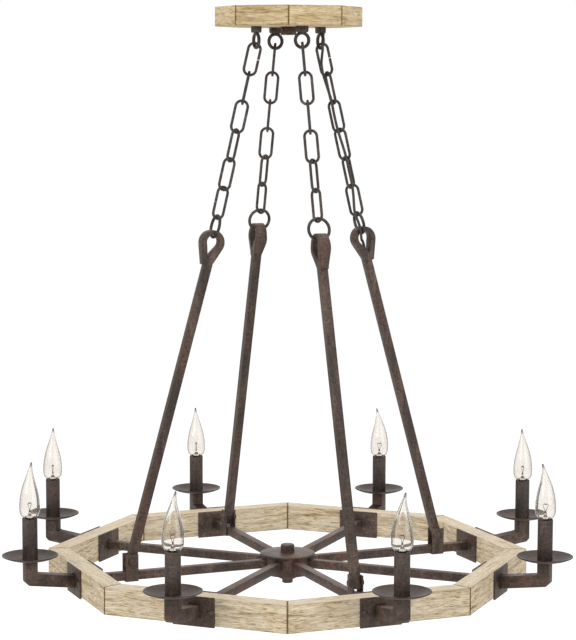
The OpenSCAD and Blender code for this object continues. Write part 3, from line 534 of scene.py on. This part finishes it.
def mitredBoard(name, board):
    face = board["corner"] * cos(halfSide)
    length = 2 * face * tan(halfSide)
    deselectAll()
    bpy.ops.mesh.primitive_cube_add(size=1, location=(face - board["thick"] / 2, 0, board["middle"]))
    piece = startPiece(name)
    piece.scale = (board["thick"], length * boardCuts["spare"], board["high"])
    applyAll(piece)
    bpy.ops.object.mode_set(mode="EDIT")
    for side in (1, -1):
        bpy.ops.mesh.select_all(action="SELECT")
        across = Vector((-sin(halfSide), side * cos(halfSide), 0))
        bpy.ops.mesh.bisect(
            plane_co=-across * board["seam"] / 2, plane_no=across, use_fill=True, clear_outer=True)
    bpy.ops.mesh.select_all(action="SELECT")
    bpy.ops.mesh.normals_make_consistent(inside=False)
    bpy.ops.mesh.bevel(offset=board["round"], segments=boardCuts["segments"], affect="EDGES")
    # cuts across the board carry the grain's attributes
    cuts = boardCuts["cuts"]
    for step in range(-(cuts // 2), cuts // 2 + 1):
        bpy.ops.mesh.select_all(action="SELECT")
        bpy.ops.mesh.bisect(
            plane_co=(face, step * length / (cuts + 1), 0), plane_no=(0, 1, 0),
            use_fill=False, clear_inner=False, clear_outer=False)
    bpy.ops.mesh.select_all(action="SELECT")
    bpy.ops.object.mode_set(mode="OBJECT")
    smoothByAngle(piece, boardCuts["smooth"])
    return piece


def boardRing(stem, board, node, body, finish, seed):
    random.seed(seed)
    shift = boardCuts["shift"]
    pattern = mitredBoard(stem + "Pattern", board)
    for k in range(8):
        piece = copyPiece(pattern, f"{stem}_{k + 1}")
        paintGrain(piece, [random.uniform(-shift, shift) for _ in range(3)])
        piece.rotation_euler.z = radians(firstTurn + 45 * k)
        applyAll(piece)
        piece.data.materials.clear()
        piece.data.materials.append(finish)
        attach(piece, body)
        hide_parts(node)
    bpy.data.objects.remove(pattern)


boardRing("ringBoard", wheelBoard, "wheel_boards", "wheel", ringWood, seed=11)
boardRing("canopyBoard", canopyBoard, "canopy_boards", "canopy", canopyWood, seed=23)
print("boards made")


# ---- flame bulbs ----

lightAt = 447.02 * mm
bulb = {
    "base": wheelZ + 108 * mm, "wall": 0.8 * mm, "round": 32, "smooth": 60,
    # height, radius and sideways lean of the glass, in mm
    "shape": [
        (0.1, 6.6, 0), (0.3, 9.4, 0), (1.6, 11.8, 0), (3.6, 13.9, 0), (6.5, 15.5, 0), (10, 16.5, 0),
        (15, 17, 0), (21, 17, 0), (27, 16.6, 0), (33, 15.9, 0), (39, 14.9, 0), (45, 13.6, 0),
        (51, 12, 0.1), (57, 10.2, 0.4), (63, 8.2, 0.9), (69, 6.3, 1.6), (74.5, 4.7, 2.5),
        (79.5, 3.4, 3.5), (83.5, 2.4, 4.4), (87, 1.7, 5.2), (89.2, 1.1, 5.6),
    ],
    # how the last point stands from the last ring
    "point": (0.1 * mm, 0, 0.5 * mm),
    # the way each tip leans, in degrees from +X
    "leans": [-41, 180, 109, 152, 105, 80, 60, 41],
}
bulbStem = {
    "round": 20, "smooth": 50,
    # height and radius, in mm
    "shape": [(0.6, 6.2), (2, 5.6), (4.5, 3.4), (7, 2.1), (10, 1.6), (13, 1.3)],
}
bulbWire = {
    "round": 8, "smooth": 60, "filament": 0.7, "turn": -70,
    # outwards, height and thickness of a support wire and half of the filament, in mm
    "shape": [
        (0.7, 9, 0.38), (0.8, 13, 0.38), (2.2, 17, 0.36), (4.2, 21.5, 0.36),
        (4.4, 23, 0.75), (2.4, 24.6, 0.8), (0.2, 23.4, 0.8),
    ],
}


def startRing(name, sides, radius, place, fill="NOTHING"):
    deselectAll()
    bpy.ops.mesh.primitive_circle_add(vertices=sides, radius=radius, fill_type=fill, location=place)
    piece = startPiece(name)
    applyAll(piece)
    bpy.ops.object.mode_set(mode="EDIT")
    bpy.ops.mesh.select_all(action="SELECT")
    return piece


def endRings():
    bpy.ops.mesh.select_all(action="SELECT")
    bpy.ops.mesh.normals_make_consistent(inside=False)
    bpy.ops.object.mode_set(mode="OBJECT")


def widenTo(ratio, centre):
    bpy.ops.transform.resize(value=(ratio, ratio, 1), center_override=centre)


def glassEnvelope(name, look):
    rings = look["shape"]
    height, radius, lean = rings[0]
    piece = startRing(name, look["round"], radius * mm, (lean * mm, 0, height * mm))
    # the open rim is extruded ring by ring
    for below, above in zip(rings, rings[1:]):
        bpy.ops.mesh.extrude_edges_move(TRANSFORM_OT_translate={
            "value": ((above[2] - below[2]) * mm, 0, (above[0] - below[0]) * mm)})
        widenTo(above[1] / below[1], (above[2] * mm, 0, above[0] * mm))
    bpy.ops.mesh.extrude_edges_move(TRANSFORM_OT_translate={"value": look["point"]})
    bpy.ops.mesh.merge(type="CENTER")
    endRings()
    wall = piece.modifiers.new("wall", "SOLIDIFY")
    wall.thickness = look["wall"]
    wall.offset = -1
    applyModifiers(piece)
    smoothByAngle(piece, look["smooth"])
    return piece


def glassStem(name, look):
    rings = look["shape"]
    height, radius = rings[0]
    piece = startRing(name, look["round"], radius * mm, (0, 0, height * mm), "NGON")
    for below, above in zip(rings, rings[1:]):
        bpy.ops.mesh.extrude_region_move(TRANSFORM_OT_translate={
            "value": (0, 0, (above[0] - below[0]) * mm)})
        widenTo(above[1] / below[1], (0, 0, above[0] * mm))
    endRings()
    smoothByAngle(piece, look["smooth"])
    return piece


def supportWires(name, look):
    # one wire and half the filament, then mirrored
    rings = look["shape"]
    out, height, radius = rings[0]
    piece = startRing(name, look["round"], radius * mm, (out * mm, 0, height * mm), "NGON")
    for below, above in zip(rings, rings[1:]):
        centre = (above[0] * mm, 0, above[1] * mm)
        bpy.ops.mesh.extrude_region_move(TRANSFORM_OT_translate={
            "value": ((above[0] - below[0]) * mm, 0, (above[1] - below[1]) * mm)})
        bpy.ops.transform.resize(value=(above[2] / below[2],) * 3, center_override=centre)
        if above[2] > look["filament"] > below[2]:
            # the filament runs across, so its end turns upright
            bpy.ops.transform.rotate(
                value=radians(look["turn"]), orient_axis="Y", center_override=centre)
    endRings()
    other = piece.modifiers.new("other", "MIRROR")
    other.use_axis[0] = True
    other.use_clip = False
    applyModifiers(piece)
    smoothByAngle(piece, look["smooth"])
    return piece


def fitBulbs():
    envelope = glassEnvelope("envelopePattern", bulb)
    stem = glassStem("stemPattern", bulbStem)
    wires = supportWires("wirePattern", bulbWire)
    kinds = [
        (envelope, "bulbEnvelope", bulbGlass, "bulb_glass"),
        (stem, "bulbStem", bulbGlass, "bulb_glass"),
        (wires, "bulbWires", wireMetal, "bulb_cap_brass"),
    ]
    for k in range(8):
        turn = radians(firstTurn + 45 * k)
        body = f"bulb_glass_{k + 1}"
        for source, kind, finish, slot in kinds:
            piece = copyPiece(source, f"{kind}_{k + 1}")
            piece.rotation_euler.z = radians(bulb["leans"][k])
            piece.location = (lightAt * cos(turn), lightAt * sin(turn), bulb["base"])
            applyAll(piece)
            piece.data.materials.clear()
            piece.data.materials.append(finish)
            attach(piece, body)
            if source is envelope:
                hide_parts(body)
    for source in (envelope, stem, wires):
        bpy.data.objects.remove(source)


bulbGlass = clearGlass("bulbGlass", glassLook, bulb["base"])
fitBulbs()
print("bulbs made")


# ---- supply cord ----

# The cord leaves the canopy beside chain B, winds down it and enters rod B. All in mm and degrees.
cordRoute = {
    "turn": 22.5, "thick": 4.5, "sides": 3, "smooth": 50,
    "loopAt": 57, "loopZ": -54.95, "lean": 13.4, "firstBend": 14.7188,
    "pinAt": 278.023, "pinZ": -901.7, "rodLean": 15.6159, "crotch": 511.666,
    # outwards, across and up from the ceiling
    "inCanopy": [
        (34, 13, -1), (35, 12.8, -4), (40, 12, -6.5), (50, 10, -7.5), (58, 8.5, -9),
        (63.5, 7.3, -13), (65.5, 7, -20), (65.5, 7, -34), (65.4, 6.9, -43), (64, 6.3, -51),
    ],
    # outwards, across and down the chain
    "byChain": [
        (5.3, 5.3, -12), (4, 6, -2), (0, 6.5, 10), (-4, 6, 22), (-5.4, 5.7, 36.5),
        (-5.7, 3.5, 46.5), (-5.8, 0, 59), (-5.6, -3, 72), (-5.3, -5.3, 84), (-5.6, -5, 109),
        (-5.3, -5.3, 132), (-4.5, -6, 144), (-3, -7, 162), (-1.5, -7.4, 181), (-1.5, -7.5, 204),
        (-1.2, -7.4, 228), (-2.5, -7.2, 244), (-4.5, -6.2, 260), (-6, -5.2, 274), (-6, -7.5, 284),
        (-5.6, -10.5, 293), (-5.3, -12, 302), (-5.4, -11.9, 310), (-5.4, -9.4, 317), (-4, -5, 324),
    ],
    # outwards, up from the crotch of the eye and across
    "inEye": [(0.8, 19, -1.5), (1.2, -1.6, 0), (1.2, -9.6, 0), (0, -30, 0)],
    # shares of the rod's height, and mm above its pin
    "inRod": (0.75, 0.55, 0.35, 0.15), "atPin": (20, 4),
    # out from the pin and up in the spoke; then shares of the way to the axis, and mm from it
    "inSpoke": [(2.6, 14), (2.8, 9), (1, 5), (-3, 2.8), (-10, 2.3)],
    "alongSpoke": (0.72, 0.43), "byHub": (60, 30, 19), "lies": 2.3,
    # points at which it leaves the canopy, passes the first link and reaches the eye, and
    # the steps from each point to the next
    "exit": 7, "pastLink": 4, "beforeEye": 3, "steps": 4,
}


def cordPoints(route):
    turn, lean, rodLean = radians(route["turn"]), radians(route["lean"]), radians(route["rodLean"])
    crotch, lies, pinAt = route["crotch"], wheelZ / mm + route["lies"], route["pinAt"]

    def placed(out, across, up):
        return Vector((out * cos(turn) - across * sin(turn), out * sin(turn) + across * cos(turn), up)) * mm

    def byChain(out, across, down):
        down += route["firstBend"]
        return placed(
            route["loopAt"] + down * sin(lean) + out * cos(lean), across,
            route["loopZ"] - down * cos(lean) + out * sin(lean))

    def inRod(out, up, across):
        return placed(
            pinAt - up * sin(rodLean) + out * cos(rodLean), across,
            route["pinZ"] + up * cos(rodLean) + out * sin(rodLean))

    inside = [placed(*p) for p in route["inCanopy"]]
    chain = [byChain(*p) for p in route["byChain"]]
    rod = [inRod(out, crotch + up, across) for out, up, across in route["inEye"]]
    rod += [inRod(0, crotch * share, 0) for share in route["inRod"]]
    rod += [inRod(0, up, 0) for up in route["atPin"]]
    spoke = [placed(pinAt + out, 0, wheelZ / mm + up) for out, up in route["inSpoke"]]
    spoke += [placed(pinAt * share, 0, lies) for share in route["alongSpoke"]]
    spoke += [placed(out, 0, lies) for out in route["byHub"]]
    return inside, chain, rod, spoke


def curveAt(t, a, b, c, d):
    # between b and c on the smooth curve through four points
    squared = 2 * a - 5 * b + 4 * c - d
    cubed = 3 * b - a - 3 * c + d
    return 0.5 * (2 * b + t * (c - a) + t * t * squared + t ** 3 * cubed)


def smoothRoute(points, steps):
    route = []
    last = len(points) - 1
    for i in range(last):
        corners = [points[min(max(k, 0), last)] for k in range(i - 1, i + 3)]
        route += [curveAt(step / steps, *corners) for step in range(steps)]
    return route + [points[-1]]


def cordPiece(name, points):
    # a tube swept along the points
    deselectAll()
    bpy.ops.curve.primitive_nurbs_path_add(location=(0, 0, 0))
    line = startPiece(name)
    line.data.splines.clear()
    spline = line.data.splines.new("POLY")
    spline.points.add(len(points) - 1)
    for point, place in zip(spline.points, points):
        point.co = (*place, 1)
    line.data.dimensions = "3D"
    line.data.bevel_depth = cordRoute["thick"] / 2 * mm
    line.data.bevel_resolution = cordRoute["sides"]
    line.data.use_fill_caps = True
    deselectAll()
    line.select_set(True)
    bpy.context.view_layer.objects.active = line
    bpy.ops.object.convert(target="MESH")
    piece = startPiece(name)
    piece.data.materials.clear()
    piece.data.materials.append(cordCover)
    smoothByAngle(piece, cordRoute["smooth"])
    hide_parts("supply_cord")
    return piece


def lengthOf(points):
    return sum((b - a).length for a, b in zip(points, points[1:]))


def layCord():
    inside, chain, rod, spoke = cordPoints(cordRoute)
    steps = cordRoute["steps"]
    whole = smoothRoute(inside + chain + rod, steps)
    exitAt = cordRoute["exit"] * steps
    split = (len(inside) + cordRoute["pastLink"]) * steps
    eyeAt = (len(inside) + len(chain) - cordRoute["beforeEye"]) * steps
    held = cordPiece("cordInCanopy", whole[:exitAt + 1])
    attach(held, "canopy")
    # the last two numbers mark the bending span of each stretch, and nothing reads them
    hanging = [
        ("cordAtCanopy", exitAt, split, "canopy", "chain_b_top", exitAt + steps, split),
        ("cordByChain", split, eyeAt, "chain_b_top", "chain_b_lower", split, split + 3 * steps),
    ]
    for name, first, last, upper, lower, start, end in hanging:
        part = whole[first:last + 1]
        piece = cordPiece(name, part)
        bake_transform(piece)
    tail = whole[eyeAt:]
    third = cordPiece("cordInRod", tail)
    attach(third, "rod_b")
    fourth = cordPiece("cordInSpoke", smoothRoute([rod[-1]] + spoke, steps))
    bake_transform(fourth)
    parts = (whole[:exitAt + 1], whole[exitAt:split + 1], whole[split:eyeAt + 1], tail)
    print("cord lengths, mm:", [round(lengthOf(part) / mm) for part in parts])


layCord()
print("cord made")


# ---- studio ----

studio = {
    "floor": -2.3, "floorSize": 30, "floorGlow": 0.58, "floorTone": 0.86, "floorRough": 0.9,
    "worldLight": 0.55, "aim": (0, 0, -0.6),
    # place, watts, size
    "lamps": [
        ((-2.4, -3.0, 1.2), 75, 2.4), ((2.8, -2.6, 0.2), 40, 2.4),
        ((0.3, 0.4, 2.0), 55, 2.0), ((0, 3.0, -0.3), 25, 2.5),
    ],
}
view = {"place": (0, -3.5895, -0.120), "pitch": 83.703, "roll": 0.119, "sensor": 36, "lens": 122.01}


def seenDirectly(tree):
    # 1 for what the camera, metal or glass sees, 0 for what lights the object
    path = addNode(tree, "ShaderNodeLightPath")
    seen = mathOf(tree, "MAXIMUM", path.outputs["Is Camera Ray"], path.outputs["Is Glossy Ray"])
    return mathOf(tree, "MAXIMUM", seen, path.outputs["Is Transmission Ray"])


def studioFloor():
    deselectAll()
    bpy.ops.mesh.primitive_plane_add(size=studio["floorSize"], location=(0, 0, studio["floor"]))
    floor = startPiece("studioFloor")
    applyAll(floor)
    mat, tree, shader = newMaterial("paleFloor")
    shader.inputs["Base Color"].default_value = (studio["floorTone"],) * 3 + (1,)
    shader.inputs["Roughness"].default_value = studio["floorRough"]
    shader.inputs["Specular IOR Level"].default_value = 0.0
    shader.inputs["Emission Color"].default_value = (1, 1, 1, 1)
    glow = mathOf(tree, "MULTIPLY", seenDirectly(tree), studio["floorGlow"])
    tree.links.new(glow, shader.inputs["Emission Strength"])
    floor.data.materials.append(mat)


def studioWorld():
    world = bpy.data.worlds.new("studioWorld")
    world.use_nodes = True
    bpy.context.scene.world = world
    tree = world.node_tree
    back = tree.nodes["Background"]
    back.inputs["Color"].default_value = (1, 1, 1, 1)
    lit = studio["worldLight"]
    level = mathOf(tree, "MULTIPLY_ADD", seenDirectly(tree), 1 - lit, lit)
    tree.links.new(level, back.inputs["Strength"])


def studioLamps():
    for i, (place, watts, size) in enumerate(studio["lamps"]):
        data = bpy.data.lights.new(f"softLamp{i + 1}", "AREA")
        data.energy = watts
        data.size = size
        lamp = bpy.data.objects.new(f"softLamp{i + 1}", data)
        lamp.location = place
        lamp.visible_transmission = False
        lamp.rotation_euler = (Vector(studio["aim"]) - Vector(place)).to_track_quat("-Z", "Y").to_euler()
        bpy.context.scene.collection.objects.link(lamp)


def photoCamera(look):
    data = bpy.data.cameras.new("photoCamera")
    data.sensor_fit = "VERTICAL"
    data.sensor_height = look["sensor"]
    data.lens = look["lens"]
    camera = bpy.data.objects.new("photoCamera", data)
    camera.matrix_world = (
        Matrix.Translation(look["place"])
        @ Matrix.Rotation(radians(look["pitch"]), 4, "X")
        @ Matrix.Rotation(radians(look["roll"]), 4, "Z")
    )
    bpy.context.scene.collection.objects.link(camera)
    bpy.context.scene.camera = camera


studioFloor()
studioWorld()
studioLamps()
photoCamera(view)
bpy.context.scene.view_settings.view_transform = "Standard"
print("studio set")
